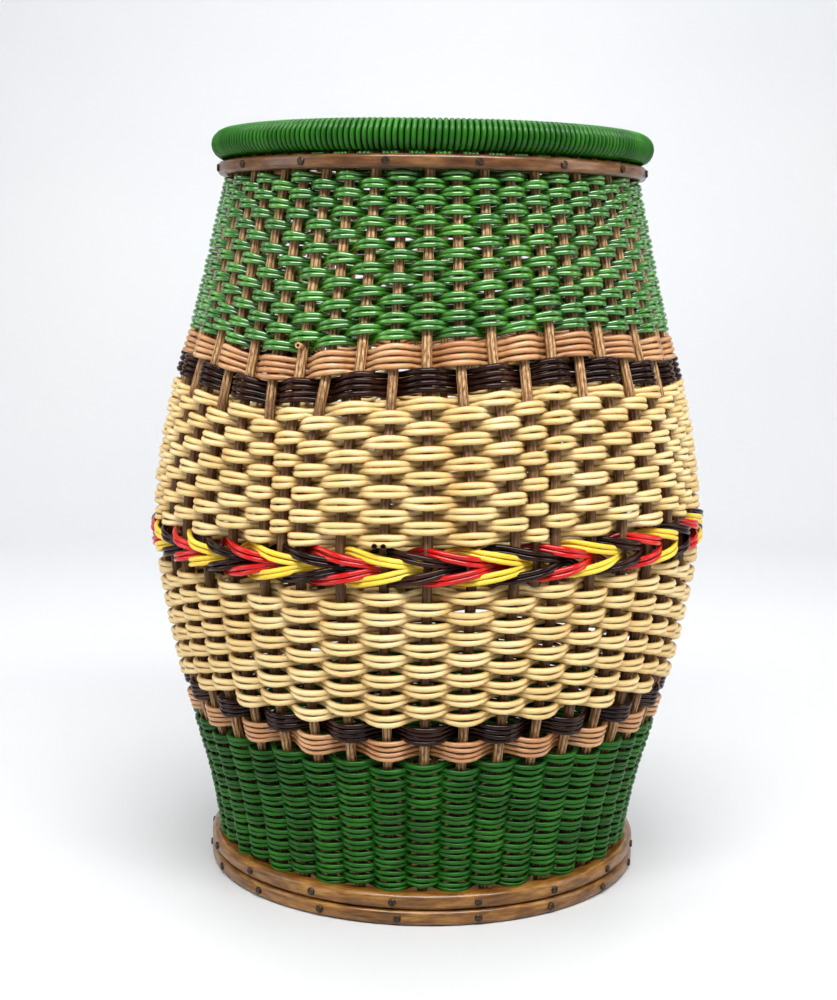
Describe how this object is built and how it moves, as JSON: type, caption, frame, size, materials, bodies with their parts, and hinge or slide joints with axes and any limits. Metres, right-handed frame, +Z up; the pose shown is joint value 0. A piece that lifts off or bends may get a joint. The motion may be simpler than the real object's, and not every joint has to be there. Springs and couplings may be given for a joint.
{
  "type": "woven umbrella stand",
  "caption": "Barrel-shaped open-top basket for umbrellas, woven from coloured plastic tube round rattan stakes, with cane hoops at foot and rim.",
  "frame": {"origin": "middle of the flat underside, on the ground", "axes": "+Z up along the basket's axis, -Y towards the side shown in the picture"},
  "size_m": [0.3456, 0.3455, 0.46],
  "materials": {
    "green_tube": "gloss",
    "cream_tube": "gloss",
    "tan_tube": "gloss",
    "brown_tube": "gloss",
    "red_tube": "gloss",
    "yellow_tube": "gloss",
    "rattan_stake": "matte",
    "cane_hoop": "satin",
    "cane_core": "matte",
    "plywood": "matte",
    "nail_steel": "dark"
  },
  "bodies": {
    "root": {"base_disc": "plywood", "base_hoop_lower": "cane_hoop", "base_hoop_lower_nails": "nail_steel", "base_hoop_upper": "cane_hoop", "base_hoop_upper_nails": "nail_steel", "stakes": "rattan_stake", "let_in_stakes": "rattan_stake", "lower_green_weave": "green_tube", "lower_tan_band": "tan_tube", "lower_brown_band": "brown_tube", "lower_cream_weave": "cream_tube", "braid_upper_brown": "brown_tube", "braid_upper_red": "red_tube", "braid_upper_yellow": "yellow_tube", "braid_lower_brown": "brown_tube", "braid_lower_red": "red_tube", "braid_lower_yellow": "yellow_tube", "braid_back": "brown_tube", "upper_cream_weave": "cream_tube", "upper_brown_band": "brown_tube", "upper_tan_band": "tan_tube", "upper_green_weave": "green_tube", "rim_outer_hoop": "cane_hoop", "rim_nails": "nail_steel", "rim_inner_hoop": "cane_hoop", "rim_core_outer": "cane_core", "rim_core_inner": "cane_core", "rim_wrapping": "green_tube"}
  },
  "joints": []
}
